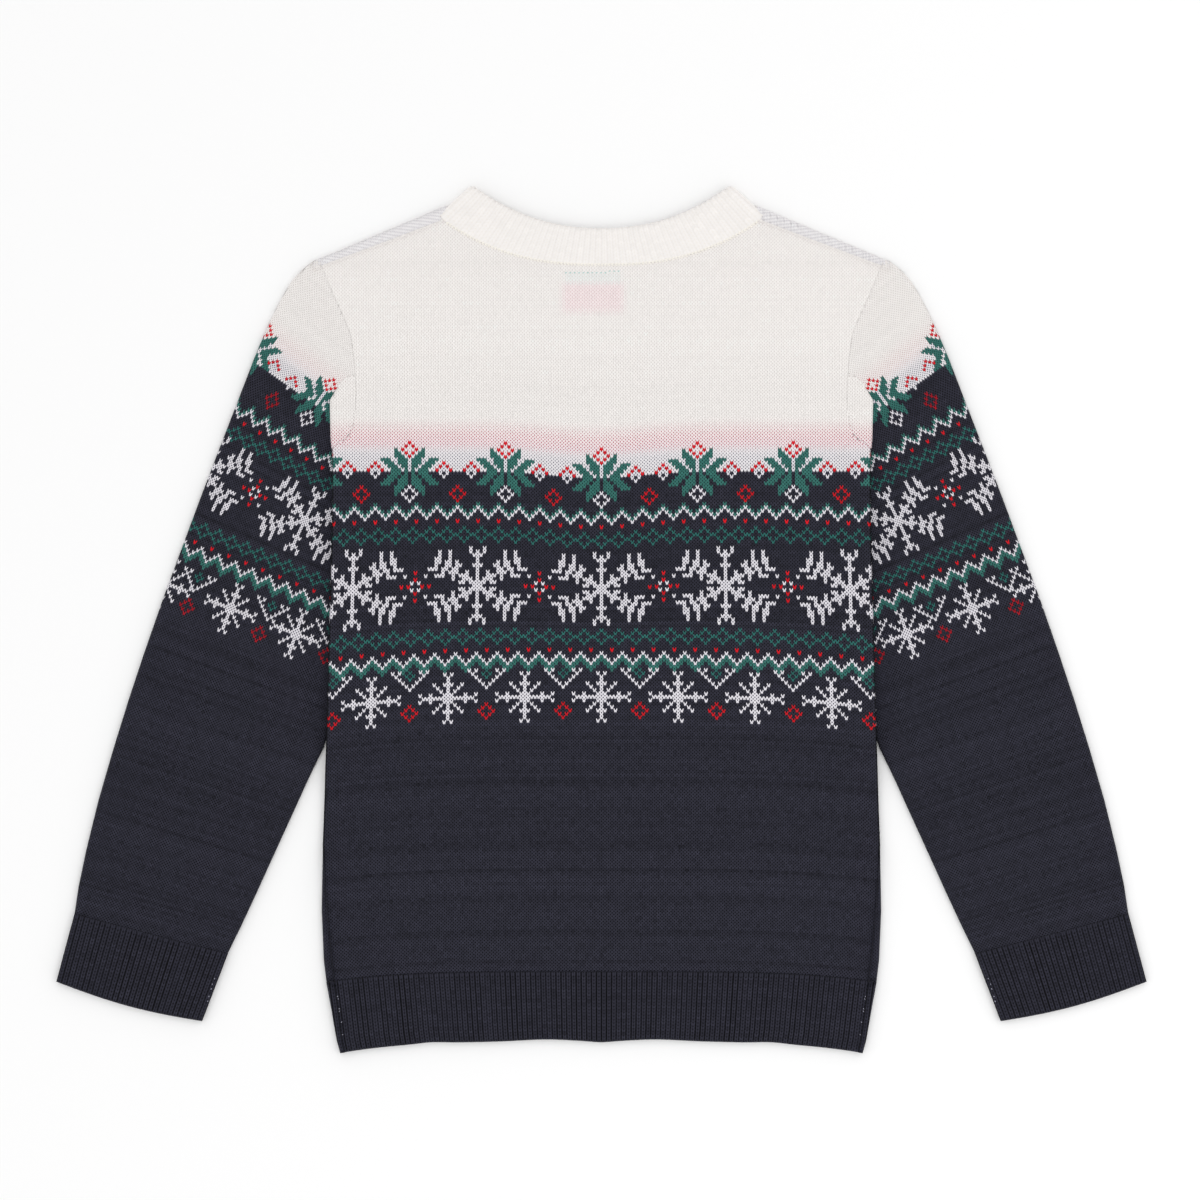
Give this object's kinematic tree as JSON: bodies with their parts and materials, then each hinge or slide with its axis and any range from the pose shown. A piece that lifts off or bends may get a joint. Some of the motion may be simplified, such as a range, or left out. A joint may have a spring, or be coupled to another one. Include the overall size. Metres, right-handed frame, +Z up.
{
  "type": "christmas sweater",
  "caption": "Child's crew-neck knitted pullover with a snowflake and flower yoke, laid flat with its back up; set-in sleeves and ribbed neck band, cuffs and hem.",
  "frame": {"origin": "on the table under the middle of the laid garment's box", "axes": "+Z up from the table, +Y from the hem to the neck, +X across the garment to the right as it is seen from above, back panel uppermost"},
  "size_m": [0.6752, 0.5376, 0.0077],
  "materials": {
    "body_knit": "fine stocking stitch in matt cotton yarn, ivory above and navy below, with a stranded pattern in red, green and white",
    "navy_rib": "matt navy one by one rib",
    "ivory_rib": "matt ivory one by one rib, knitted double",
    "label_cloth": "soft red woven label, blank"
  },
  "bodies": {
    "root": {"back_panel": "body_knit", "front_panel": "body_knit", "left_sleeve": "body_knit", "right_sleeve": "body_knit", "back_hem_rib": "navy_rib", "front_hem_rib": "navy_rib", "left_cuff": "navy_rib", "right_cuff": "navy_rib", "neck_band": "ivory_rib", "neck_label": "label_cloth"}
  },
  "joints": []
}
